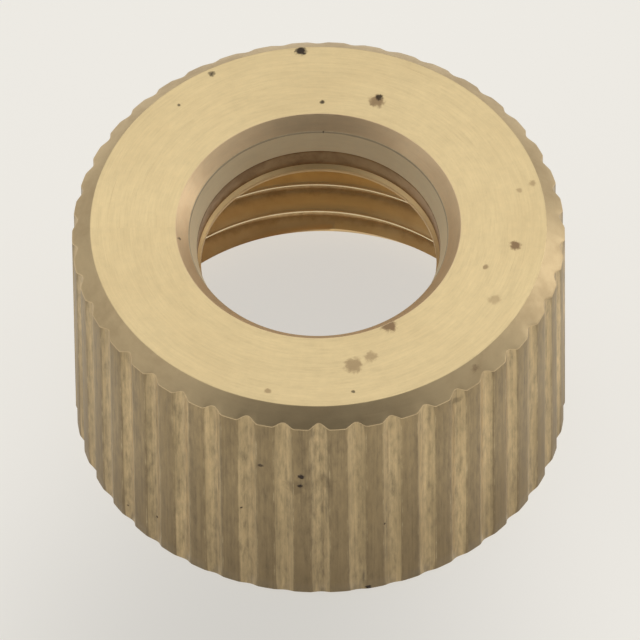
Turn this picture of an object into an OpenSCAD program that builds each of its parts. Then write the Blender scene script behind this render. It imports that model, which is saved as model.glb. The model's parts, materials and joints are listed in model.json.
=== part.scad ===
// Knurled round union nut.
// A one-piece turned nut: a flat flange with a stepped hole closes one end, a large
// right-hand internal thread opens at the other, and straight flutes run down the side.
// It stands on the rim of its threaded mouth. The origin is at the centre of that rim
// and +Z points out of the flange face. All sizes are in millimetres.

/* [Body] */
// Diameter over the crests of the knurl
outer_d = 22.5; // [22:0.1:40]
// Height from the rim of the threaded mouth to the flange face
height = 13.1; // [9:0.1:30]
// Width of the chamfer round the flange face, measured along the face
top_chamfer_w = 0.84; // [0.4:0.02:1.6]
// Height of that chamfer, measured down the side
top_chamfer_h = 0.7; // [0.3:0.02:1.6]
// 45 degree edge break round the base; the flutes run out in it
base_chamfer = 0.25; // [0.1:0.01:0.6]

/* [Knurl] */
// Number of straight flutes round the side
flute_count = 42; // [24:1:60]
// Depth of a flute below the crests
flute_depth = 0.22; // [0.1:0.01:0.4]
// Included angle of a flute
flute_angle = 130; // [80:1:140]
// Angle at which the first flute stands, from +X
flute_start = 3.9; // [0:0.1:15]

/* [Flange hole] */
// Diameter of the plain part of the hole in the flange
hole_d = 11.1; // [8:0.1:14]
// 45 degree countersink at the mouth of the hole
hole_chamfer = 0.6; // [0.2:0.05:1]
// How far the hole widens from its plain part up to the countersink, on the radius
taper_step = 0.35; // [0.1:0.05:0.8]
// Length of that steep taper along the axis
taper_len = 1; // [0.5:0.05:1.4]
// Depth of the hole from the flange face to its shoulder
hole_depth = 2.5; // [2.1:0.05:4]
// How far the lip at the bottom of the hole stands in from the plain part
lip_step = 0.17; // [0.1:0.01:1.5]
// Length of the sloping shoulder between the plain part and the lip
shoulder_len = 0.15; // [0.1:0.05:1]
// Length of the lip along the axis
lip_len = 0.2; // [0.15:0.05:2]

/* [Thread] */
// Nominal (major) diameter of the internal thread
thread_d = 20; // [16:0.1:20.2]
// Pitch of the thread
thread_pitch = 2; // [1.8:0.1:2.5]
// Radial depth of the thread groove
thread_depth = 0.9; // [0.5:0.05:0.95]
// Width of the flat at the bottom of the thread groove
thread_root = 0.25; // [0.2:0.05:0.5]
// Angle between the two flanks of the thread groove
thread_angle = 60; // [50:1:60]
// Angle at which the middle of the groove leaves the base, from +X
thread_start = 176; // [0:1:359]
// Length of the plain relief between the thread and the flange
relief_len = 2; // [1.8:0.1:3]
// Radial clearance of the relief and of the mouth over the thread
thread_clearance = 0.08; // [0.02:0.01:0.2]

/* [Hidden] */
$fn = 180;
brass = [0.82, 0.72, 0.51];
overcut = 1;             // how far a cutter runs past the face it leaves through
thread_overcut = 0.15;   // how far inside the crests the thread cutter starts
ring_count = 48;         // sections of the thread cutter in one turn
outer_r = outer_d / 2;
face_r = outer_r - top_chamfer_w;
base_r = outer_r - base_chamfer;
hole_r = hole_d / 2;
entry_r = hole_r + taper_step;
lip_r = hole_r - lip_step;
taper_z = height - hole_chamfer - taper_len;
thread_r = thread_d / 2;
crest_r = thread_r - thread_depth;
open_r = thread_r + thread_clearance;
mouth_len = open_r - crest_r;
flange_t = hole_depth + shoulder_len + lip_len;
flange_z = height - flange_t;
relief_z = flange_z - relief_len;
groove_half = thread_root / 2 + thread_depth * tan(thread_angle / 2);

// turned blank, before the flutes and the bore are cut
module blank() {
    rotate_extrude()
        polygon([
            [0, 0],
            [base_r, 0],
            [outer_r, base_chamfer],
            [outer_r, height - top_chamfer_h],
            [face_r, height],
            [0, height]
        ]);
}

// one straight V flute, cut from end to end of the side
module flute() {
    flute_half = (flute_depth + overcut) * tan(flute_angle / 2);
    translate([outer_r, 0, -overcut])
        linear_extrude(height = height + 2 * overcut)
            polygon([[-flute_depth, 0], [overcut, -flute_half], [overcut, flute_half]]);
}

module flutes() {
    for (i = [0 : flute_count - 1])
        rotate([0, 0, flute_start + i * 360 / flute_count])
            flute();
}

// hole through the flange: countersink, steep taper, plain part, sloping shoulder and lip
module flange_hole() {
    rotate_extrude()
        polygon([
            [0, flange_z - overcut],
            [lip_r, flange_z - overcut],
            [lip_r, flange_z + lip_len],
            [hole_r, flange_z + lip_len + shoulder_len],
            [hole_r, taper_z],
            [entry_r, height - hole_chamfer],
            [entry_r + hole_chamfer + overcut, height + overcut],
            [0, height + overcut]
        ]);
}

// bore at the thread's crest diameter, with its entry chamfer and the relief above it
module thread_bore() {
    rotate_extrude()
        polygon([
            [0, -overcut],
            [open_r + overcut, -overcut],
            [crest_r, mouth_len],
            [crest_r, relief_z - mouth_len],
            [open_r, relief_z],
            [open_r, flange_z],
            [0, flange_z]
        ]);
}

// right-hand helical groove, swept as one closed solid that starts inside the bore
module thread_groove() {
    z_low = -thread_pitch;
    z_high = relief_z + groove_half;
    steps = ceil((z_high - z_low) / thread_pitch * ring_count);
    inner_r = crest_r - thread_overcut;
    inner_half = groove_half + thread_overcut * tan(thread_angle / 2);
    section = [
        [inner_r, -inner_half],
        [thread_r, -thread_root / 2],
        [thread_r, thread_root / 2],
        [inner_r, inner_half]
    ];
    corners = len(section);
    points = [
        for (i = [0 : steps])
            let (turn = i / ring_count, a = thread_start + 360 * (turn + z_low / thread_pitch))
                for (p = section)
                    [p[0] * cos(a), p[0] * sin(a), z_low + thread_pitch * turn + p[1]]
    ];
    sides = [
        for (i = [0 : steps - 1], k = [0 : corners - 1])
            let (
                a = corners * i + k,
                b = corners * i + (k + 1) % corners
            )
                each [[a, b, b + corners], [a, b + corners, a + corners]]
    ];
    first_end = [for (k = [corners - 1 : -1 : 0]) k];
    last_end = [for (k = [0 : corners - 1]) corners * steps + k];
    polyhedron(points = points, faces = concat(sides, [first_end, last_end]), convexity = 10);
}

module knurled_nut() {
    color(brass)
        difference() {
            blank();
            flutes();
            flange_hole();
            thread_bore();
            thread_groove();
        }
}

knurled_nut();
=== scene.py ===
import json
import math

import bpy
from mathutils import Matrix, Vector


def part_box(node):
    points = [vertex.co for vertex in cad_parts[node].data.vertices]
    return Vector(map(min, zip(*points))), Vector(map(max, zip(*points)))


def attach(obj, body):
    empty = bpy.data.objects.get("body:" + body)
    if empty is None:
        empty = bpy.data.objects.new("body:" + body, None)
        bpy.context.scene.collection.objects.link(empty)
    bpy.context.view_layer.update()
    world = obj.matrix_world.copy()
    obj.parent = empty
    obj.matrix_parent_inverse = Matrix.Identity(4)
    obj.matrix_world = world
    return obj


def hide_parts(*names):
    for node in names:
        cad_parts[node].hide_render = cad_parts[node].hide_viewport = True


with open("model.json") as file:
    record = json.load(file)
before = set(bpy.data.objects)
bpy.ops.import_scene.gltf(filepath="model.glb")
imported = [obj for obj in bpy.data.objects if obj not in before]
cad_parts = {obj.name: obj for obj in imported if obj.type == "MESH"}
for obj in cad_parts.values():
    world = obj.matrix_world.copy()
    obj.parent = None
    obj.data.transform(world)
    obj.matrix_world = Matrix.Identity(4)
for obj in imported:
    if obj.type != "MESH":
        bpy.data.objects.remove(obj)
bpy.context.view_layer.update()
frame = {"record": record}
print("frame loaded")

mm = 0.001
edgeRows = 3  # rows of faces across a rounded edge
mergeDistance = 1e-6  # points nearer than this are one point, in metres
sharpAngle = 50  # faces that meet at more than this many degrees keep a crisp edge
scene = bpy.context.scene
mountRadius = {m["name"]: m["dims"].get("r_mm") for m in frame["record"]["mounts"]}
nutLow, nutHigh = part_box("knurled_nut")

# sizes of the nut in millimetres; the outer ones come from the frame
nut = {
    "outerRadius": nutHigh[0] / mm,
    "height": nutHigh[2] / mm,
    "holeRadius": mountRadius["flange_hole"],
    "lipRadius": mountRadius["flange_lip"],
    "crestRadius": mountRadius["thread"],
    "topChamferWidth": 0.84,
    "topChamferHeight": 0.7,
    "baseChamfer": 0.25,
    "holeChamfer": 0.6,
    "taperStep": 0.35,
    "taperLength": 1.0,
    "holeDepth": 2.5,
    "shoulderLength": 0.15,
    "lipLength": 0.2,
    "reliefLength": 2.0,
    "openRadius": 10.08,
}

# one flute, as stations from its root to the middle of the next land:
# share of the half width, share of the depth; the edge wear with its painted highlight also has a value for
# the middle of the land
flutes = {
    "count": 42,
    "start": 3.9,
    "depth": 0.22,
    "halfWidth": 0.47,
    "stations": [(0, 1.0), (0.2, 0.95), (0.5, 0.62), (0.8, 0.22), (0.96, 0.05), (1.1, 0.0)],
    "edgeWear": [0.0, 0.0, 0.0, 0.2, 0.6, 0.3, 0.0],
    "depthSpread": 0.12,
    "angleSpread": 0.22,
    "seed": 4,
}

# half a thread pitch, as stations from the middle of the groove to the middle of the crest:
# distance along the axis, radius above the crest; the crest wear with its painted highlight has one value for
# each station
thread = {
    "pitch": 2.0,
    "start": 176.0,
    "grooveDepth": 0.9,
    "stations": [
        (0, 0.9),
        (0.3, 0.895),
        (0.38, 0.85),
        (0.5, 0.68),
        (0.7, 0.36),
        (0.86, 0.105),
        (0.92, 0.03),
        (0.96, 0.006),
        (1.0, 0.0),
    ],
    "crestWear": [0.0, 0.0, 0.0, 0.0, 0.0, 0.0, 0.2, 0.8, 1.0],
    "turns": 6,
}


class Field:
    # a socket that ordinary arithmetic works on
    def __init__(self, tree, socket):
        self.tree = tree
        self.socket = socket

    def math(self, operation, *others):
        node = self.tree.nodes.new("ShaderNodeMath")
        node.operation = operation
        for slot, value in zip(node.inputs, (self, *others)):
            connect(self.tree, value, slot)
        return Field(self.tree, node.outputs[0])

    def __add__(self, other):
        return self.math("ADD", other)

    def __sub__(self, other):
        return self.math("SUBTRACT", other)

    def __mul__(self, other):
        return self.math("MULTIPLY", other)

    def __truediv__(self, other):
        return self.math("DIVIDE", other)

    def minimum(self, other):
        return self.math("MINIMUM", other)

    def maximum(self, other):
        return self.math("MAXIMUM", other)

    def __rsub__(self, other):
        node = self.tree.nodes.new("ShaderNodeMath")
        node.operation = "SUBTRACT"
        node.inputs[0].default_value = other
        self.tree.links.new(self.socket, node.inputs[1])
        return Field(self.tree, node.outputs[0])


def connect(tree, value, socket):
    if isinstance(value, Field):
        tree.links.new(value.socket, socket)
    elif isinstance(value, bpy.types.NodeSocket):
        tree.links.new(value, socket)
    else:
        socket.default_value = value


def profileDirection(a, b):
    run = (b[0] - a[0], b[1] - a[1])
    length = math.hypot(*run)
    return (run[0] / length, run[1] / length)


def roundedPath(corners):
    # cuts each corner back and bridges it with a short bulged band, so every edge has a radius
    pieces = []
    last = len(corners) - 1
    for i, corner in enumerate(corners):
        if i == 0 or i == last or not corner.get("round"):
            spot = (corner["r"], corner["z"])
            pieces.append({"into": spot, "out": spot, "bulge": 0})
            continue
        into = profileDirection(corners[i - 1]["at"], corner["at"])
        out = profileDirection(corner["at"], corners[i + 1]["at"])
        turn = math.atan2(into[0] * out[1] - into[1] * out[0], into[0] * out[0] + into[1] * out[1])
        cut = corner["round"] * math.tan(abs(turn) / 2)
        sagitta = corner["round"] * (1 - math.cos(turn / 2))
        pieces.append({
            "into": (corner["r"] - into[0] * cut, corner["z"] - into[1] * cut),
            "out": (corner["r"] + out[0] * cut, corner["z"] + out[1] * cut),
            "bulge": math.copysign(sagitta, turn),
        })
    return pieces


def makeInputs(tree, inputs):
    # named sockets on a group's outside, and a dictionary of them for its inside
    for name, kind, value in inputs:
        socket = tree.interface.new_socket(name=name, in_out="INPUT", socket_type=kind)
        if value is not None:
            socket.default_value = value
    node = tree.nodes.new("NodeGroupInput")
    return {name: node.outputs[name] for name, kind, value in inputs}


def makeOutputs(tree, outputs):
    for name, kind in outputs:
        tree.interface.new_socket(name=name, in_out="OUTPUT", socket_type=kind)
    node = tree.nodes.new("NodeGroupOutput")
    return {name: node.inputs[name] for name, kind in outputs}


def gridPlace(tree):
    # where a grid point lies across and along its grid, both from 0 to 1
    place = tree.nodes.new("GeometryNodeInputPosition")
    parts = tree.nodes.new("ShaderNodeSeparateXYZ")
    tree.links.new(place.outputs[0], parts.inputs[0])
    return Field(tree, parts.outputs["X"]) + 0.5, Field(tree, parts.outputs["Y"]) + 0.5


def stationValue(tree, index, values):
    # picks one of the values by a whole-number field
    node = tree.nodes.new("GeometryNodeIndexSwitch")
    node.data_type = "FLOAT"
    while len(node.index_switch_items) < len(values):
        node.index_switch_items.new()
    connect(tree, index, node.inputs["Index"])
    for slot, value in zip(node.inputs[1:], values):
        slot.default_value = value
    return Field(tree, node.outputs[0])


def mirroredStations(tree, step, count):
    # a run of stations that goes out from a centre and back to the next one:
    # number of the nearest centre, side of it (-1 or 1), station on that side
    cell = (step / (2 * count)).math("FLOOR")
    inside = step - cell * (2 * count)
    past = inside.math("GREATER_THAN", count + 0.5)
    station = inside.minimum(2 * count - inside)
    return cell + past, 1 - past * 2, station


def randomOf(tree, number, seed):
    # one fixed value between -1 and 1 for each whole number
    node = tree.nodes.new("FunctionNodeRandomValue")
    node.data_type = "FLOAT"
    node.inputs[2].default_value = -1
    node.inputs[3].default_value = 1
    connect(tree, number, node.inputs["ID"])
    connect(tree, seed, node.inputs["Seed"])
    return Field(tree, node.outputs[1])


def storePoint(tree, mesh, name, value):
    # keeps a value on the points for the materials to read
    node = tree.nodes.new("GeometryNodeStoreNamedAttribute")
    node.data_type = "FLOAT"
    node.domain = "POINT"
    node.inputs["Name"].default_value = name
    connect(tree, mesh, node.inputs["Geometry"])
    connect(tree, value, node.inputs["Value"])
    return node.outputs["Geometry"]


def wrapRound(tree, mesh, azimuth, radius, height):
    # moves grid points to cylindrical places given in degrees and millimetres
    angle = azimuth.math("RADIANS")
    spot = tree.nodes.new("ShaderNodeCombineXYZ")
    connect(tree, radius * angle.math("COSINE") * mm, spot.inputs["X"])
    connect(tree, radius * angle.math("SINE") * mm, spot.inputs["Y"])
    connect(tree, height * mm, spot.inputs["Z"])
    place = tree.nodes.new("GeometryNodeSetPosition")
    connect(tree, mesh, place.inputs["Geometry"])
    tree.links.new(spot.outputs[0], place.inputs["Position"])
    return place.outputs["Geometry"]


def paintBand(tree, mesh, material):
    node = tree.nodes.new("GeometryNodeSetMaterial")
    connect(tree, mesh, node.inputs["Geometry"])
    connect(tree, material, node.inputs["Material"])
    return node.outputs["Geometry"]


def makeBandGroup():
    # one turned band: a grid wrapped round the axis between two circles, bulged where it is an edge's radius
    tree = bpy.data.node_groups.new("turnedBand", "GeometryNodeTree")
    given = makeInputs(tree, [
        ("Columns", "NodeSocketInt", 504),
        ("Rows", "NodeSocketInt", 1),
        ("Azimuth", "NodeSocketFloat", 0.0),
        ("Start Radius", "NodeSocketFloat", 1.0),
        ("Start Height", "NodeSocketFloat", 0.0),
        ("End Radius", "NodeSocketFloat", 1.0),
        ("End Height", "NodeSocketFloat", 1.0),
        ("Bulge", "NodeSocketFloat", 0.0),
        ("Worn Edge", "NodeSocketFloat", 0.0),
        ("Groove Share", "NodeSocketFloat", 0.0),
        ("Material", "NodeSocketMaterial", None),
    ])
    made = makeOutputs(tree, [("Mesh", "NodeSocketGeometry")])
    grid = tree.nodes.new("GeometryNodeMeshGrid")
    connect(tree, Field(tree, given["Columns"]) + 1, grid.inputs["Vertices X"])
    connect(tree, Field(tree, given["Rows"]) + 1, grid.inputs["Vertices Y"])
    along = gridPlace(tree)[1]
    startRadius = Field(tree, given["Start Radius"])
    startHeight = Field(tree, given["Start Height"])
    widening = Field(tree, given["End Radius"]) - startRadius
    rise = Field(tree, given["End Height"]) - startHeight
    length = (widening * widening + rise * rise).math("SQRT").maximum(1e-6)
    swell = Field(tree, given["Bulge"]) * 4 * along * (1 - along)
    radius = startRadius + widening * along + swell * rise / length
    height = startHeight + rise * along - swell * widening / length
    # edge wear with a painted highlight, and the share that drives painted shade
    mesh = storePoint(tree, grid.outputs["Mesh"], "wornEdge", given["Worn Edge"])
    mesh = storePoint(tree, mesh, "grooveShare", given["Groove Share"])
    mesh = wrapRound(tree, mesh, Field(tree, given["Azimuth"]), radius, height)
    tree.links.new(paintBand(tree, mesh, given["Material"]), made["Mesh"])
    return tree


def knurlFields(tree, given, across):
    # for each column: azimuth, radius of the knurl, share of the flute's depth, closeness to a land's edge
    halfPitch = 180 / flutes["count"]
    perHalf = len(flutes["stations"])
    column = (across * (2 * perHalf * flutes["count"])).math("ROUND")
    number, side, station = mirroredStations(tree, column, perHalf)
    toDegrees = math.degrees(flutes["halfWidth"] / nut["outerRadius"])
    angles = [share * toDegrees for share, depth in flutes["stations"]] + [halfPitch]
    depths = [depth for share, depth in flutes["stations"]] + [0.0]
    away = stationValue(tree, station, angles)
    share = stationValue(tree, station, depths)
    edge = stationValue(tree, station, flutes["edgeWear"])
    fluteNumber = number.math("MODULO", flutes["count"])
    seed = Field(tree, given["Seed"])
    shift = randomOf(tree, fluteNumber, seed) * given["Angle Spread"]
    deeper = randomOf(tree, fluteNumber, seed + 1) * given["Depth Spread"] + 1
    azimuth = number * (2 * halfPitch) + given["Flute Start"] + side * away + shift * (1 - away / halfPitch)
    radius = Field(tree, given["Outer Radius"]) - share * deeper * given["Flute Depth"]
    return azimuth, radius, share, edge


def nutCorners(crest):
    # the turned outline from the threaded mouth, round the outside and down the hole to the relief;
    # "at" is the plain outline, r and z follow the flutes where they cut it
    top = nut["height"]
    faceRadius = nut["outerRadius"] - nut["topChamferWidth"]
    baseRadius = nut["outerRadius"] - nut["baseChamfer"]
    holeTop = top - nut["holeChamfer"]
    shoulderTop = top - nut["holeDepth"]
    lipTop = shoulderTop - nut["shoulderLength"]
    flangeUnder = lipTop - nut["lipLength"]
    reliefUnder = flangeUnder - nut["reliefLength"]
    entryRadius = nut["holeRadius"] + nut["taperStep"]
    countersink = entryRadius + nut["holeChamfer"]
    plain = [
        # radius, height, edge radius, rows to the next corner, finish of the band that follows
        (nut["openRadius"], 0, 0, 2, "rim"),
        (baseRadius, 0, 0, 1, "rim"),
        (nut["outerRadius"], nut["baseChamfer"], 0, 16, "side"),
        (nut["outerRadius"], top - nut["topChamferHeight"], 0.1, 2, "chamfer"),
        (faceRadius, top, 0.06, 8, "face"),
        (countersink, top, 0.05, 2, "countersink"),
        (entryRadius, holeTop, 0.25, 4, "taper"),
        (nut["holeRadius"], holeTop - nut["taperLength"], 0.25, 3, "hole"),
        (nut["holeRadius"], shoulderTop, 0.02, 1, "lip"),
        (nut["lipRadius"], lipTop, 0.03, 2, "lip"),
        (nut["lipRadius"], flangeUnder, 0.03, 6, "bore"),
        (nut["openRadius"], flangeUnder, 0.05, 4, "bore"),
        (nut["openRadius"], reliefUnder, 0, 0, "bore"),
    ]
    corners = [
        {"at": (r, z), "r": r, "z": z, "round": edge, "rows": rows, "finish": finish}
        for r, z, edge, rows, finish in plain
    ]
    corners[1].update(r=crest.minimum(baseRadius))
    corners[2].update(r=crest, z=(crest - baseRadius).maximum(0))
    slope = nut["topChamferHeight"] / nut["topChamferWidth"]
    corners[3].update(r=crest, z=top - (crest - faceRadius) * slope)
    return corners


def makeNutTree(materials):
    tree = bpy.data.node_groups.new("nutBody", "GeometryNodeTree")
    given = makeInputs(tree, [
        ("Seed", "NodeSocketInt", None),
        ("Outer Radius", "NodeSocketFloat", None),
        ("Flute Start", "NodeSocketFloat", None),
        ("Flute Depth", "NodeSocketFloat", None),
        ("Depth Spread", "NodeSocketFloat", None),
        ("Angle Spread", "NodeSocketFloat", None),
        ("Thread Pitch", "NodeSocketFloat", None),
        ("Thread Start", "NodeSocketFloat", None),
    ])
    made = makeOutputs(tree, [("Mesh", "NodeSocketGeometry")])
    across, along = gridPlace(tree)
    azimuth, crest, share, edge = knurlFields(tree, given, across)
    columns = 2 * len(flutes["stations"]) * flutes["count"]
    band = makeBandGroup()
    join = tree.nodes.new("GeometryNodeJoinGeometry")

    def addBand(start, end, rows, bulge, finish):
        # a rounded edge is a short bulged band of its own, with wear, a painted highlight and painted shade
        # as its finish says
        node = tree.nodes.new("GeometryNodeGroup")
        node.node_tree = band
        onSide = finish == "side"
        values = {
            "Columns": columns,
            "Rows": rows,
            "Azimuth": azimuth,
            "Start Radius": start[0],
            "Start Height": start[1],
            "End Radius": end[0],
            "End Height": end[1],
            "Bulge": bulge,
            "Worn Edge": edge if onSide else (finishes[finish]["edgeWear"] if bulge else 0),
            "Groove Share": share if onSide else (finishes[finish]["edgeDirt"] if bulge else 0),
            "Material": materials[finish],
        }
        for name, value in values.items():
            connect(tree, value, node.inputs[name])
        tree.links.new(node.outputs[0], join.inputs[0])

    corners = nutCorners(crest)
    path = roundedPath(corners)
    for i, corner in enumerate(corners[:-1]):
        if corner["round"]:
            addBand(path[i]["into"], path[i]["out"], edgeRows, path[i]["bulge"], corner["finish"])
        addBand(path[i]["out"], path[i + 1]["into"], corner["rows"], 0, corner["finish"])

    # the threaded wall: rows follow the helix and are held between the mouth and the relief
    perHalf = len(thread["stations"]) - 1
    rows = 2 * perHalf * thread["turns"]
    row = ((1 - along) * rows).math("ROUND")
    number, side, station = mirroredStations(tree, row, perHalf)
    away = stationValue(tree, station, [distance for distance, depth in thread["stations"]])
    depth = stationValue(tree, station, [depth for distance, depth in thread["stations"]])
    pitch = Field(tree, given["Thread Pitch"])
    climb = pitch * (azimuth - given["Thread Start"]) / 360
    wallTop = corners[-1]["z"]
    height = (pitch * (number - 1) + side * away + climb).maximum(0).minimum(wallTop)
    mouth = nut["openRadius"] - height
    runOut = height + (nut["openRadius"] - wallTop)
    radius = (depth + nut["crestRadius"]).maximum(mouth).maximum(runOut)
    grid = tree.nodes.new("GeometryNodeMeshGrid")
    grid.inputs["Vertices X"].default_value = columns + 1
    grid.inputs["Vertices Y"].default_value = rows + 1
    # wear with a painted highlight, lighter towards the crests
    crestWear = stationValue(tree, station, thread["crestWear"])
    mesh = storePoint(tree, grid.outputs["Mesh"], "wornEdge", crestWear)
    # the depth in the groove also drives the painted shade in it
    mesh = storePoint(tree, mesh, "grooveShare", depth / thread["grooveDepth"])
    mesh = wrapRound(tree, mesh, azimuth, radius, height)
    tree.links.new(paintBand(tree, mesh, materials["bore"]), join.inputs[0])

    merge = tree.nodes.new("GeometryNodeMergeByDistance")
    merge.inputs["Distance"].default_value = mergeDistance
    smooth = tree.nodes.new("GeometryNodeSetShadeSmooth")
    realize = tree.nodes.new("GeometryNodeRealizeInstances")
    tree.links.new(join.outputs[0], merge.inputs["Geometry"])
    tree.links.new(merge.outputs[0], smooth.inputs["Geometry"])
    tree.links.new(smooth.outputs[0], realize.inputs["Geometry"])
    tree.links.new(realize.outputs[0], made["Mesh"])
    return tree


def buildNut(materials):
    tree = makeNutTree(materials)
    mesh = bpy.data.meshes.new("nutStart")
    piece = bpy.data.objects.new("brassNut", mesh)
    scene.collection.objects.link(piece)
    modifier = piece.modifiers.new("nutBody", "NODES")
    modifier.node_group = tree
    values = {
        "Seed": flutes["seed"],
        "Outer Radius": nut["outerRadius"],
        "Flute Start": flutes["start"],
        "Flute Depth": flutes["depth"],
        "Depth Spread": flutes["depthSpread"],
        "Angle Spread": flutes["angleSpread"],
        "Thread Pitch": thread["pitch"],
        "Thread Start": thread["start"],
    }
    for item in tree.interface.items_tree:
        if item.in_out == "INPUT":
            modifier[item.identifier] = values[item.name]
    bpy.context.view_layer.update()
    shaped = piece.evaluated_get(bpy.context.evaluated_depsgraph_get())
    made = bpy.data.meshes.new_from_object(shaped)
    piece.modifiers.remove(modifier)
    piece.data = made
    made.name = "brassNut"
    made.materials.pop(index=0)  # the empty slot that the grids start with
    made.set_sharp_from_angle(angle=math.radians(sharpAngle))
    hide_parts("knurled_nut")
    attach(piece, "root")
    return piece


def positionFields(tree):
    # the object's own millimetres: x, y, z, distance from the axis and angle round it
    coordinate = tree.nodes.new("ShaderNodeTexCoord")
    scaled = tree.nodes.new("ShaderNodeVectorMath")
    scaled.operation = "SCALE"
    scaled.inputs["Scale"].default_value = 1 / mm
    parts = tree.nodes.new("ShaderNodeSeparateXYZ")
    tree.links.new(coordinate.outputs["Object"], scaled.inputs[0])
    tree.links.new(scaled.outputs[0], parts.inputs[0])
    x, y, z = (Field(tree, parts.outputs[name]) for name in "XYZ")
    return {
        "vector": scaled.outputs[0],
        "x": x,
        "y": y,
        "z": z,
        "radius": (x * x + y * y).math("SQRT"),
        "angle": y.math("ARCTAN2", x),
    }


def distanceTo(tree, vector, spot):
    gap = tree.nodes.new("ShaderNodeVectorMath")
    gap.operation = "DISTANCE"
    connect(tree, vector, gap.inputs[0])
    gap.inputs[1].default_value = spot
    return Field(tree, gap.outputs["Value"])


def combine(tree, x, y, z):
    node = tree.nodes.new("ShaderNodeCombineXYZ")
    for socket, value in zip(node.inputs, (x, y, z)):
        connect(tree, value, socket)
    return node.outputs[0]


def noise(tree, vector, scale, detail=2.0, roughness=0.5, distortion=0.0):
    node = tree.nodes.new("ShaderNodeTexNoise")
    connect(tree, vector, node.inputs["Vector"])
    values = {"Scale": scale, "Detail": detail, "Roughness": roughness, "Distortion": distortion}
    for name, value in values.items():
        connect(tree, value, node.inputs[name])
    return Field(tree, node.outputs["Fac"])


def ramp(tree, value, low, high, outLow=0.0, outHigh=1.0):
    # smooth step between two values
    node = tree.nodes.new("ShaderNodeMapRange")
    node.interpolation_type = "SMOOTHSTEP"
    values = {"Value": value, "From Min": low, "From Max": high, "To Min": outLow, "To Max": outHigh}
    for name, amount in values.items():
        connect(tree, amount, node.inputs[name])
    return Field(tree, node.outputs["Result"])


def mixColor(tree, amount, first, second, blend="MIX"):
    node = tree.nodes.new("ShaderNodeMix")
    node.data_type = "RGBA"
    node.blend_type = blend
    connect(tree, amount, node.inputs[0])
    connect(tree, first, node.inputs[6])
    connect(tree, second, node.inputs[7])
    return node.outputs[2]


def rgb(color):
    return (*color, 1.0)


def shaderGroup(name, inputs, outputs):
    tree = bpy.data.node_groups.new(name, "ShaderNodeTree")
    given = makeInputs(tree, inputs)
    made = makeOutputs(tree, outputs)
    fields = {key: Field(tree, socket) for key, socket in given.items()}
    return tree, fields, made


def useGroup(tree, group, values):
    node = tree.nodes.new("ShaderNodeGroup")
    node.node_tree = group
    for name, value in values.items():
        connect(tree, value, node.inputs[name])
    return {socket.name: Field(tree, socket) for socket in node.outputs}


def makeToolMarks():
    # lines left by a cutting tool: fine across, long the other way, with a few heavier ones
    tree, given, made = shaderGroup(
        "toolMarks",
        [
            ("Across", "NodeSocketFloat", 0.0),
            ("Along", "NodeSocketFloat", 0.0),
            ("Fineness", "NodeSocketFloat", 8.0),
            ("Length", "NodeSocketFloat", 1.0),
            ("Heavy Share", "NodeSocketFloat", 0.3),
        ],
        [("Marks", "NodeSocketFloat"), ("Heavy", "NodeSocketFloat")],
    )
    along = given["Along"] / given["Length"]
    across = given["Across"] * given["Fineness"]
    fine = noise(tree, combine(tree, across, along, 0.0), 1.0, 3.0, 0.7)
    broad = noise(tree, combine(tree, across * 0.23, along * 0.6, 7.0), 1.0, 2.0, 0.5)
    sparse = noise(tree, combine(tree, across * 0.8, along * 0.4, 19.0), 1.0, 1.0, 0.5)
    marks = fine * 0.6 + broad * 0.4
    heavy = ramp(tree, sparse, 0.62, 0.72) * given["Heavy Share"]
    tree.links.new(marks.socket, made["Marks"])
    tree.links.new(heavy.socket, made["Heavy"])
    return tree


def makeTarnish():
    # cloudy brown film: broad blotches with a finer grain inside them
    tree, given, made = shaderGroup(
        "tarnish",
        [
            ("Position", "NodeSocketVector", None),
            ("Scale", "NodeSocketFloat", 0.3),
            ("Amount", "NodeSocketFloat", 0.5),
            ("Grain", "NodeSocketFloat", 0.3),
        ],
        [("Film", "NodeSocketFloat"), ("Mottle", "NodeSocketFloat")],
    )
    cloud = noise(tree, given["Position"], given["Scale"], 4.0, 0.6, 0.4)
    grain = noise(tree, given["Position"], given["Scale"] * 9, 3.0, 0.65)
    film = ramp(tree, cloud + (grain - 0.5) * given["Grain"], 0.35, 0.75) * given["Amount"]
    tree.links.new(film.socket, made["Film"])
    tree.links.new(grain.socket, made["Mottle"])
    return tree


def makeSpecks():
    # scattered dark pin-pricks of uneven size
    tree, given, made = shaderGroup(
        "specks",
        [
            ("Position", "NodeSocketVector", None),
            ("Spacing", "NodeSocketFloat", 1.0),
            ("Size", "NodeSocketFloat", 0.08),
            ("Share", "NodeSocketFloat", 0.2),
        ],
        [("Specks", "NodeSocketFloat")],
    )
    cells = tree.nodes.new("ShaderNodeTexVoronoi")
    connect(tree, given["Position"], cells.inputs["Vector"])
    one = tree.nodes.new("ShaderNodeMath")
    one.operation = "DIVIDE"
    one.inputs[0].default_value = 1.0
    tree.links.new(given["Spacing"].socket, one.inputs[1])
    tree.links.new(one.outputs[0], cells.inputs["Scale"])
    parts = tree.nodes.new("ShaderNodeSeparateXYZ")
    tree.links.new(cells.outputs["Color"], parts.inputs[0])
    chance = Field(tree, parts.outputs["X"]).math("LESS_THAN", given["Share"])
    ragged = (noise(tree, given["Position"], 14.0, 2.0) - 0.5) * 0.7
    reach = given["Size"] * (Field(tree, parts.outputs["Y"]) * 1.2 + 0.3) / given["Spacing"]
    near = Field(tree, cells.outputs["Distance"]) / reach + ragged
    specks = ramp(tree, near, 0.6, 1.1, 1.0, 0.0) * chance
    tree.links.new(specks.socket, made["Specks"])
    return tree


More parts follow.
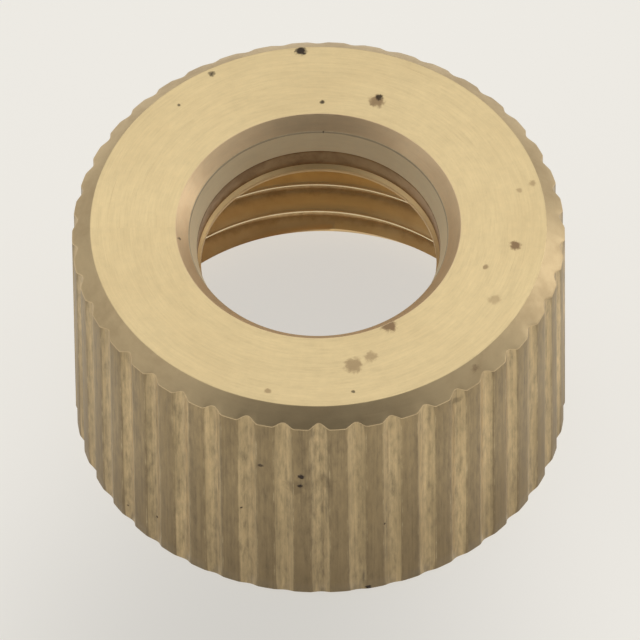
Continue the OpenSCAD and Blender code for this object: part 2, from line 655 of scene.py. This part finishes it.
def makeStains(name, stains):
    # marks at known places: each is a ragged round patch at (x, y, z) with its own size and strength
    tree, given, made = shaderGroup(
        name,
        [("Position", "NodeSocketVector", None), ("Raggedness", "NodeSocketFloat", 0.5)],
        [("Stain", "NodeSocketFloat")],
    )
    edge = (noise(tree, given["Position"], 3.2, 3.0, 0.7) - 0.5) * given["Raggedness"] * 3
    total = None
    for spot in stains:
        near = distanceTo(tree, given["Position"], spot["at"]) / spot["size"] + edge
        patch = ramp(tree, near, 0.45, 1.05, 1.0, 0.0) * spot["strength"]
        total = patch if total is None else total.maximum(patch)
    tree.links.new(total.socket, made["Stain"])
    return tree


def makeBrassTone():
    # puts the effects together into a colour and a roughness
    tree, given, made = shaderGroup(
        "brassTone",
        [
            ("Clean", "NodeSocketColor", None),
            ("Film Color", "NodeSocketColor", None),
            ("Stain Color", "NodeSocketColor", None),
            ("Pit Color", "NodeSocketColor", None),
            ("Worn Color", "NodeSocketColor", None),
            ("Marks", "NodeSocketFloat", 0.5),
            ("Mark Depth", "NodeSocketFloat", 0.2),
            ("Film", "NodeSocketFloat", 0.0),
            ("Stain", "NodeSocketFloat", 0.0),
            ("Pits", "NodeSocketFloat", 0.0),
            ("Worn", "NodeSocketFloat", 0.0),
            ("Grime", "NodeSocketFloat", 0.0),
            ("Roughness", "NodeSocketFloat", 0.4),
        ],
        [("Color", "NodeSocketColor"), ("Roughness", "NodeSocketFloat")],
    )
    shade = (given["Marks"] - 0.5) * given["Mark Depth"] + 1
    level = tree.nodes.new("ShaderNodeVectorMath")
    level.operation = "SCALE"
    connect(tree, given["Clean"], level.inputs[0])
    connect(tree, shade, level.inputs["Scale"])
    color = mixColor(tree, given["Film"], level.outputs[0], given["Film Color"])
    # painted shade, mixed in with the stain colour
    color = mixColor(tree, given["Grime"], color, given["Stain Color"])
    color = mixColor(tree, given["Stain"], color, given["Stain Color"])
    color = mixColor(tree, given["Pits"], color, given["Pit Color"])
    # wear with a painted highlight: lighter towards the worn colour
    color = mixColor(tree, given["Worn"], color, given["Worn Color"])
    dulled = given["Film"] * 0.15 + given["Stain"] * 0.25 + given["Grime"] * 0.2 + given["Pits"] * 0.3
    roughness = given["Roughness"] + dulled + (given["Marks"] - 0.5) * 0.12 - given["Worn"] * 0.12
    rough = roughness.maximum(0.12).minimum(0.95)
    tree.links.new(color, made["Color"])
    tree.links.new(rough.socket, made["Roughness"])
    return tree


# marks at known places, in millimetres
faceStains = [
    {"at": (9.0, -1.3, 13.1), "size": 0.3, "strength": 0.75},
    {"at": (7.6, -2.5, 13.1), "size": 0.16, "strength": 0.5},
    {"at": (9.8, 2.3, 13.1), "size": 0.2, "strength": 0.35},
    {"at": (9.2, 1.9, 13.1), "size": 0.16, "strength": 0.3},
    {"at": (8.0, -4.4, 13.1), "size": 0.35, "strength": 0.25},
    {"at": (3.15, -5.85, 13.1), "size": 0.42, "strength": 0.75},
    {"at": (1.5, -8.1, 13.1), "size": 0.5, "strength": 0.45},
    {"at": (2.3, -7.6, 13.1), "size": 0.35, "strength": 0.35},
    {"at": (2.75, 7.2, 13.1), "size": 0.42, "strength": 0.65},
    {"at": (-2.4, -9.5, 13.1), "size": 0.18, "strength": 0.4},
]
facePits = [
    {"at": (-0.7, 10.2, 13.1), "size": 0.3, "strength": 0.95},
    {"at": (-4.8, 8.9, 13.0), "size": 0.2, "strength": 0.8},
    {"at": (2.85, 7.4, 13.1), "size": 0.2, "strength": 0.85},
    {"at": (0.25, 7.2, 13.1), "size": 0.13, "strength": 0.85},
    {"at": (-6.5, -0.6, 12.9), "size": 0.2, "strength": 0.9},
    {"at": (3.0, 5.9, 12.8), "size": 0.2, "strength": 0.9},
    {"at": (1.5, -9.6, 13.1), "size": 0.1, "strength": 0.6},
    {"at": (-6.3, 7.1, 13.1), "size": 0.09, "strength": 0.6},
    {"at": (4.3, 9.4, 13.0), "size": 0.1, "strength": 0.7},
]
sideStains = [
    {"at": (7.0, -8.0, 12.6), "size": 0.35, "strength": 0.6},
    {"at": (6.2, -9.3, 11.8), "size": 0.35, "strength": 0.5},
    {"at": (-1.2, -11.1, 8.0), "size": 0.6, "strength": 0.35},
    {"at": (0.1, -11.2, 8.4), "size": 0.6, "strength": 0.3},
]
sidePits = [
    {"at": (-0.95, -11.15, 8.9), "size": 0.2, "strength": 0.95},
    {"at": (-0.97, -11.15, 8.2), "size": 0.14, "strength": 0.9},
    {"at": (2.1, -10.98, 0.35), "size": 0.16, "strength": 0.95},
    {"at": (-2.75, -10.9, 9.4), "size": 0.14, "strength": 0.7},
]

# finish of each turned surface; "across" says which way its tool marks are counted
finishes = {
    "face": {
        "clean": (0.83, 0.66, 0.37), "film": (0.62, 0.44, 0.22), "stain": (0.3, 0.16, 0.08),
        "roughness": 0.36, "across": "radius", "fineness": 9.0, "length": 0.35, "heavy": 0.3,
        "markDepth": 0.5, "markHeight": 0.014, "filmScale": 0.22, "filmAmount": 0.12, "grain": 0.3,
        "speckSpacing": 2.2, "speckSize": 0.05, "speckShare": 0.3,
        "edgeWear": 0.6, "edgeDirt": 0.0, "metal": 1.0, "mottle": 0.5,
        "stains": faceStains, "pits": facePits,
    },
    "chamfer": {
        "clean": (0.72, 0.56, 0.33), "film": (0.42, 0.3, 0.17), "stain": (0.25, 0.14, 0.08),
        "roughness": 0.4, "across": "z", "fineness": 9.0, "length": 0.35, "heavy": 0.3,
        "markDepth": 0.2, "markHeight": 0.006, "filmScale": 0.3, "filmAmount": 0.4, "grain": 0.4,
        "speckSpacing": 1.6, "speckSize": 0.06, "speckShare": 0.3,
        "edgeWear": 0.0, "edgeDirt": 0.0, "metal": 1.0, "mottle": 0.8,
        "stains": sideStains, "pits": facePits,
    },
    "side": {
        "clean": (0.6, 0.455, 0.25), "film": (0.38, 0.28, 0.14), "stain": (0.2, 0.14, 0.07),
        "roughness": 0.38, "across": "arc", "fineness": 7.0, "length": 12.0, "heavy": 0.5,
        "markDepth": 1.7, "markHeight": 0.02, "filmScale": 0.5, "filmAmount": 0.35, "grain": 0.5,
        "speckSpacing": 1.3, "speckSize": 0.06, "speckShare": 0.25,
        "edgeWear": 0.0, "edgeDirt": 0.0, "metal": 0.7, "mottle": 1.0,
        "stains": sideStains, "pits": sidePits,
    },
    "rim": {
        "clean": (0.6, 0.47, 0.28), "film": (0.4, 0.29, 0.16), "stain": (0.22, 0.12, 0.07),
        "roughness": 0.42, "across": "radius", "fineness": 8.0, "length": 0.4, "heavy": 0.4,
        "markDepth": 0.2, "markHeight": 0.006, "filmScale": 0.3, "filmAmount": 0.35, "grain": 0.4,
        "speckSpacing": 1.6, "speckSize": 0.06, "speckShare": 0.25,
        "edgeWear": 0.4, "edgeDirt": 0.0, "metal": 1.0, "mottle": 0.5,
        "stains": sideStains, "pits": sidePits,
    },
    "countersink": {
        "clean": (0.9, 0.68, 0.42), "film": (0.56, 0.38, 0.22), "stain": (0.25, 0.14, 0.08),
        "roughness": 0.45, "across": "z", "fineness": 10.0, "length": 0.4, "heavy": 0.3,
        "markDepth": 0.3, "markHeight": 0.006, "filmScale": 0.3, "filmAmount": 0.3, "grain": 0.4,
        "speckSpacing": 1.6, "speckSize": 0.05, "speckShare": 0.2,
        "edgeWear": 0.6, "edgeDirt": 0.0, "metal": 0.85, "mottle": 0.6,
        "stains": facePits, "pits": facePits,
    },
    "taper": {
        # the taper's colour is painted far lighter than the other brass: painted light from above
        "clean": (1.0, 0.84, 0.56), "film": (0.85, 0.66, 0.4), "stain": (0.16, 0.09, 0.05),
        "roughness": 0.5, "across": "z", "fineness": 9.0, "length": 0.5, "heavy": 0.3,
        "markDepth": 0.3, "markHeight": 0.006, "filmScale": 0.3, "filmAmount": 0.3, "grain": 0.4,
        "speckSpacing": 1.6, "speckSize": 0.05, "speckShare": 0.2,
        "edgeWear": 0.0, "edgeDirt": 1.3, "metal": 0.1, "mottle": 0.5,
        "stains": facePits, "pits": facePits,
    },
    "hole": {
        "clean": (0.5, 0.34, 0.18), "film": (0.26, 0.15, 0.07), "stain": (0.14, 0.08, 0.04),
        "roughness": 0.34, "across": "z", "fineness": 9.0, "length": 0.5, "heavy": 0.3,
        "markDepth": 0.3, "markHeight": 0.006, "filmScale": 0.3, "filmAmount": 0.7, "grain": 0.4,
        "speckSpacing": 1.6, "speckSize": 0.05, "speckShare": 0.2,
        "edgeWear": 0.0, "edgeDirt": 0.8, "metal": 1.0, "mottle": 0.8,
        "stains": facePits, "pits": facePits,
    },
    "lip": {
        "clean": (0.9, 0.66, 0.34), "film": (0.56, 0.38, 0.2), "stain": (0.25, 0.14, 0.08),
        "roughness": 0.42, "across": "z", "fineness": 9.0, "length": 0.5, "heavy": 0.3,
        "markDepth": 0.2, "markHeight": 0.005, "filmScale": 0.3, "filmAmount": 0.3, "grain": 0.4,
        "speckSpacing": 1.6, "speckSize": 0.05, "speckShare": 0.2,
        "edgeWear": 0.9, "edgeDirt": 0.0, "metal": 0.9, "mottle": 0.5,
        "stains": facePits, "pits": facePits,
    },
    "bore": {
        "clean": (0.9, 0.66, 0.34), "film": (0.6, 0.38, 0.17), "stain": (0.3, 0.17, 0.08),
        "roughness": 0.34, "across": "z", "fineness": 7.0, "length": 0.5, "heavy": 0.4,
        "markDepth": 0.25, "markHeight": 0.006, "filmScale": 0.3, "filmAmount": 0.35, "grain": 0.4,
        "speckSpacing": 1.4, "speckSize": 0.07, "speckShare": 0.25,
        "edgeWear": 0.6, "edgeDirt": 0.0, "metal": 1.0, "mottle": 0.6,
        "stains": facePits, "pits": facePits,
    },
}
pitColor = (0.035, 0.018, 0.012)
# the colour of wear and of the painted highlight on edges and crests
wearAndHighlightColor = (0.95, 0.8, 0.52)
turnedShine = 0.4
quarterTurn = 0.25

# how wear with a painted highlight, dirt and painted shade gather on the brass: "from" and "to" are where an
# effect starts and is full
wearAndHighlight = {
    "edgeWeight": 0.7,
    "mottleWeight": 0.5,
    "from": 0.6,
    "to": 0.95,
}
dirtAndPaintedShade = {
    "drawn": 0.22,  # the film on the side is drawn out along the flutes
    # the land, line and foot values make painted shade on the side, the groove values painted shade in
    # grooves and inner corners
    "landFrom": 0.08,
    "landTo": 0.26,
    "landLevel": 0.5,
    "landRagged": 0.5,
    "lineLevel": 1.1,
    "footTop": 9.0,
    "footLevel": 0.22,
    "grooveWeight": 0.7,
    "mottleWeight": 0.4,
    "grooveFrom": 0.6,
    "grooveTo": 1.05,
    "grooveLevel": 0.5,
    "speckLevel": 0.8,
    "stainDulls": 0.6,  # how much of a stain's strength takes away the metal
    "dullest": 0.8,
    "pitRelief": 2.5,
    "scratchRelief": 0.8,
}


def attribute(tree, name):
    node = tree.nodes.new("ShaderNodeAttribute")
    node.attribute_name = name
    return Field(tree, node.outputs["Fac"])


def sidePaintedShade(tree, place, groove, edge, marks, tarnish, look):
    # painted shade: the lands between the flutes are painted darker than the flutes, with a painted dark line
    # along some of their edges, and the side is painted darker towards the bottom
    ragged = groove + (marks["Marks"] - 0.5) * dirtAndPaintedShade["landRagged"]
    land = ramp(tree, ragged, dirtAndPaintedShade["landFrom"], dirtAndPaintedShade["landTo"], dirtAndPaintedShade["landLevel"], 0.0)
    line = edge * tarnish["Film"] * (dirtAndPaintedShade["lineLevel"] / look["filmAmount"])
    foot = ramp(tree, place["z"], 0.0, dirtAndPaintedShade["footTop"], dirtAndPaintedShade["footLevel"], 0.0)
    return land.maximum(line) + foot


def turnedPaintedShade(tree, groove, tarnish):
    # painted shade in the grooves and in the inner corners
    depth = groove * dirtAndPaintedShade["grooveWeight"] + tarnish["Mottle"] * dirtAndPaintedShade["mottleWeight"]
    return ramp(tree, depth, dirtAndPaintedShade["grooveFrom"], dirtAndPaintedShade["grooveTo"]) * dirtAndPaintedShade["grooveLevel"]


def shineAcross(tree, shader):
    # turned surfaces shine across their tool marks
    around = tree.nodes.new("ShaderNodeTangent")
    around.direction_type = "RADIAL"
    around.axis = "Z"
    tree.links.new(around.outputs[0], shader.inputs["Tangent"])
    shader.inputs["Anisotropic"].default_value = turnedShine
    shader.inputs["Anisotropic Rotation"].default_value = quarterTurn


def makeBrass(name, groups):
    look = finishes[name]
    onSide = look["across"] == "arc"
    material = bpy.data.materials.new("brass" + name.capitalize())
    material.use_nodes = True
    tree = material.node_tree
    shader = tree.nodes["Principled BSDF"]
    place = positionFields(tree)
    arc = place["angle"] * nut["outerRadius"]
    across = {"radius": place["radius"], "z": place["z"], "arc": arc}[look["across"]]
    along = place["z"] if onSide else place["angle"] * 2.0
    marks = useGroup(tree, groups["toolMarks"], {
        "Across": across,
        "Along": along,
        "Fineness": look["fineness"],
        "Length": look["length"],
        "Heavy Share": look["heavy"],
    })
    stretch = dirtAndPaintedShade["drawn"] if onSide else 1.0
    tarnish = useGroup(tree, groups["tarnish"], {
        "Position": combine(tree, place["x"], place["y"], place["z"] * stretch),
        "Scale": look["filmScale"],
        "Amount": look["filmAmount"],
        "Grain": look["grain"],
    })
    specks = useGroup(tree, groups["specks"], {
        "Position": place["vector"],
        "Spacing": look["speckSpacing"],
        "Size": look["speckSize"],
        "Share": look["speckShare"],
    })
    stains = useGroup(tree, groups[name + "Stains"], {"Position": place["vector"], "Raggedness": 0.5})
    pits = useGroup(tree, groups[name + "Pits"], {"Position": place["vector"], "Raggedness": 0.6})
    edge = attribute(tree, "wornEdge")
    groove = attribute(tree, "grooveShare")
    # wear with a painted highlight: lighter on worn edges, land edges and thread crests
    rubbedAndLit = edge * wearAndHighlight["edgeWeight"] + tarnish["Mottle"] * wearAndHighlight["mottleWeight"]
    wornAndHighlight = ramp(tree, rubbedAndLit, wearAndHighlight["from"], wearAndHighlight["to"])
    # painted shade: darker lands, edge lines and foot on the side, darker grooves and inner corners on the
    # turned surfaces
    if onSide:
        paintedShade = sidePaintedShade(tree, place, groove, edge, marks, tarnish, look)
    else:
        paintedShade = turnedPaintedShade(tree, groove, tarnish)
    dark = (specks["Specks"] * dirtAndPaintedShade["speckLevel"]).maximum(pits["Stain"])
    shade = marks["Marks"] + (tarnish["Mottle"] - 0.5) * look["mottle"]
    tone = useGroup(tree, groups["brassTone"], {
        "Clean": rgb(look["clean"]),
        "Film Color": rgb(look["film"]),
        "Stain Color": rgb(look["stain"]),
        "Pit Color": rgb(pitColor),
        "Worn Color": rgb(wearAndHighlightColor),
        "Marks": shade,
        "Mark Depth": look["markDepth"],
        "Film": tarnish["Film"],
        "Stain": stains["Stain"],
        "Pits": dark,
        "Worn": wornAndHighlight,
        "Grime": paintedShade,
        "Roughness": look["roughness"],
    })
    tree.links.new(tone["Color"].socket, shader.inputs["Base Color"])
    tree.links.new(tone["Roughness"].socket, shader.inputs["Roughness"])
    if not onSide:
        shineAcross(tree, shader)
    dulled = dark.maximum(stains["Stain"] * dirtAndPaintedShade["stainDulls"]) * dirtAndPaintedShade["dullest"]
    metal = (1 - dulled) * look["metal"]
    tree.links.new(metal.socket, shader.inputs["Metallic"])
    relief = marks["Marks"] - marks["Heavy"] * dirtAndPaintedShade["scratchRelief"] - dark * dirtAndPaintedShade["pitRelief"]
    bump = tree.nodes.new("ShaderNodeBump")
    bump.inputs["Strength"].default_value = 1.0
    bump.inputs["Distance"].default_value = look["markHeight"] * mm
    tree.links.new(relief.socket, bump.inputs["Height"])
    tree.links.new(bump.outputs[0], shader.inputs["Normal"])
    return material


effects = {
    "toolMarks": makeToolMarks(),
    "tarnish": makeTarnish(),
    "specks": makeSpecks(),
    "brassTone": makeBrassTone(),
}
for name, look in finishes.items():
    effects[name + "Stains"] = makeStains(name + "Stains", look["stains"])
    effects[name + "Pits"] = makeStains(name + "Pits", look["pits"])
brass = {name: makeBrass(name, effects) for name in finishes}
print("brass finishes made")

nutPiece = buildNut(brass)
print("nut made:", len(nutPiece.data.polygons), "faces")

# the floor's spots are in millimetres: a painted soft shadow before the nut, and a painted pool of light
# under the hole with painted shade under the rest of the nut
studio = {
    "floorSize": 1.6,
    "floorDrop": 0.01,
    "floorColor": (0.3, 0.293, 0.275),
    "floorRoughness": 0.9,
    "floorSheen": 0.2,
    "floorGlow": (1.0, 0.975, 0.92),
    "floorGlowStrength": 0.68,
    "dimAt": (-4.0, -18.0, 0.0),
    "dimFrom": 2.0,
    "dimTo": 20.0,
    "dimLevel": 0.8,
    "litAt": (0.0, 8.0, 0.0),
    "litFrom": 6.5,
    "litTo": 9.5,
    "boreLevel": 0.4,
    "throughLevel": 0.87,
    "skyBack": 0.62,
    "skyFront": 0.4,
    "skyBackAt": 0.5,
    "skyFrontAt": -0.9,
    "skyColor": (1.0, 0.985, 0.955),
    "shadeAt": (0.0, -0.79, 0.61),
    "shadeFrom": 0.72,
    "shadeTo": 0.97,
    "shadeLevel": 0.25,
    "horizonLevel": 0.45,
    "horizonTop": 0.5,
}


def makeFloor():
    mesh = bpy.data.meshes.new("floor")
    half = studio["floorSize"] / 2
    low = -studio["floorDrop"] * mm  # clear of the rim that stands on it
    corners = [(-half, -half, low), (half, -half, low), (half, half, low), (-half, half, low)]
    mesh.from_pydata(corners, [], [(0, 1, 2, 3)])
    floor = bpy.data.objects.new("floor", mesh)
    scene.collection.objects.link(floor)
    material = bpy.data.materials.new("paleSheet")
    material.use_nodes = True
    tree = material.node_tree
    shader = tree.nodes["Principled BSDF"]
    place = positionFields(tree)
    # painted shadow: a little darker before the nut; under the nut painted shade, with a painted pool of
    # light under the hole
    fromPaintedShadow = distanceTo(tree, place["vector"], studio["dimAt"])
    paintedShadow = ramp(tree, fromPaintedShadow, studio["dimFrom"], studio["dimTo"], studio["dimLevel"], 1.0)
    fromPaintedLight = distanceTo(tree, place["vector"], studio["litAt"])
    paintedLightUnderHole = ramp(tree, fromPaintedLight, studio["litFrom"], studio["litTo"], 1.0, studio["boreLevel"])
    outside = place["radius"].math("GREATER_THAN", nut["openRadius"])
    glowAndPaintedLight = paintedShadow * (paintedLightUnderHole * studio["throughLevel"]).maximum(outside) * studio["floorGlowStrength"]
    # the painted shadow before the nut also darkens the floor's own colour
    color = mixColor(tree, paintedShadow, rgb((0.0, 0.0, 0.0)), rgb(studio["floorColor"]))
    tree.links.new(color, shader.inputs["Base Color"])
    shader.inputs["Roughness"].default_value = studio["floorRoughness"]
    shader.inputs["Specular IOR Level"].default_value = studio["floorSheen"]
    shader.inputs["Emission Color"].default_value = rgb(studio["floorGlow"])
    tree.links.new(glowAndPaintedLight.socket, shader.inputs["Emission Strength"])
    mesh.materials.append(material)
    return floor


def makeSky():
    # soft surround, brighter behind the nut than in front of it
    world = bpy.data.worlds.new("softSurround")
    scene.world = world
    world.use_nodes = True
    tree = world.node_tree
    background = tree.nodes["Background"]
    direction = tree.nodes.new("ShaderNodeTexCoord")
    parts = tree.nodes.new("ShaderNodeSeparateXYZ")
    tree.links.new(direction.outputs["Generated"], parts.inputs[0])
    back = Field(tree, parts.outputs["Y"])
    frontAt, backAt = studio["skyFrontAt"], studio["skyBackAt"]
    strength = ramp(tree, back, frontAt, backAt, studio["skyFront"], studio["skyBack"])
    towards = tree.nodes.new("ShaderNodeVectorMath")
    towards.operation = "DOT_PRODUCT"
    tree.links.new(direction.outputs["Generated"], towards.inputs[0])
    towards.inputs[1].default_value = studio["shadeAt"]
    facing = towards.outputs["Value"]
    shade = ramp(tree, facing, studio["shadeFrom"], studio["shadeTo"], 1.0, studio["shadeLevel"])
    low = ramp(tree, parts.outputs["Z"], 0.0, studio["horizonTop"], studio["horizonLevel"], 1.0)
    strength = strength * shade * low
    background.inputs["Color"].default_value = rgb(studio["skyColor"])
    tree.links.new(strength.socket, background.inputs["Strength"])


# soft panels: where they stand in degrees and metres, width and height in metres, and watts
panels = [
    {"name": "backPanel", "azimuth": 172, "elevation": 55, "distance": 0.9, "size": (0.8, 0.6), "power": 0.55,
     "color": (1.0, 0.985, 0.955)},
    {"name": "rightPanel", "azimuth": 112, "elevation": 12, "distance": 0.9, "size": (0.5, 0.5), "power": 0.9,
     "color": (1.0, 0.985, 0.955)},
    {"name": "leftPanel", "azimuth": -82, "elevation": 35, "distance": 0.9, "size": (0.5, 0.5), "power": 0.1,
     "color": (1.0, 0.99, 0.97)},
]


def makeLight(name, azimuth, elevation, distance, size, power, color):
    # a soft panel that faces the nut from the given side: azimuth 0 is the front, 90 the right
    data = bpy.data.lights.new(name, "AREA")
    data.shape = "RECTANGLE"
    data.size, data.size_y = size
    data.energy = power
    data.color = color
    light = bpy.data.objects.new(name, data)
    scene.collection.objects.link(light)
    a, e = math.radians(azimuth), math.radians(elevation)
    towards = Vector((math.sin(a) * math.cos(e), -math.cos(a) * math.cos(e), math.sin(e)))
    light.location = towards * distance + Vector((0, 0, nut["height"] * mm / 2))
    light.rotation_euler = towards.to_track_quat("Z", "Y").to_euler()


makeFloor()
makeSky()
for panel in panels:
    makeLight(**panel)
print("studio made")

shot = {
    "lens": 1500.0,
    "sensor": 36.0,
    "frameWidth": 29.33,
    "elevation": 52.14,
    "roll": 0.7,
    "target": (0.024, 0.0, 6.08),
}


def makeCamera():
    data = bpy.data.cameras.new("camera")
    data.lens = shot["lens"]
    data.sensor_width = shot["sensor"]
    camera = bpy.data.objects.new("camera", data)
    scene.collection.objects.link(camera)
    elevation = math.radians(shot["elevation"])
    towards = Vector((0, -math.cos(elevation), math.sin(elevation)))
    distance = shot["frameWidth"] / shot["sensor"] * shot["lens"] * mm
    camera.location = Vector(shot["target"]) * mm + towards * distance
    turn = towards.to_track_quat("Z", "Y").to_matrix() @ Matrix.Rotation(math.radians(-shot["roll"]), 3, "Z")
    camera.rotation_euler = turn.to_euler()
    data.clip_end = distance * 3
    scene.camera = camera


makeCamera()
scene.view_settings.view_transform = "Standard"
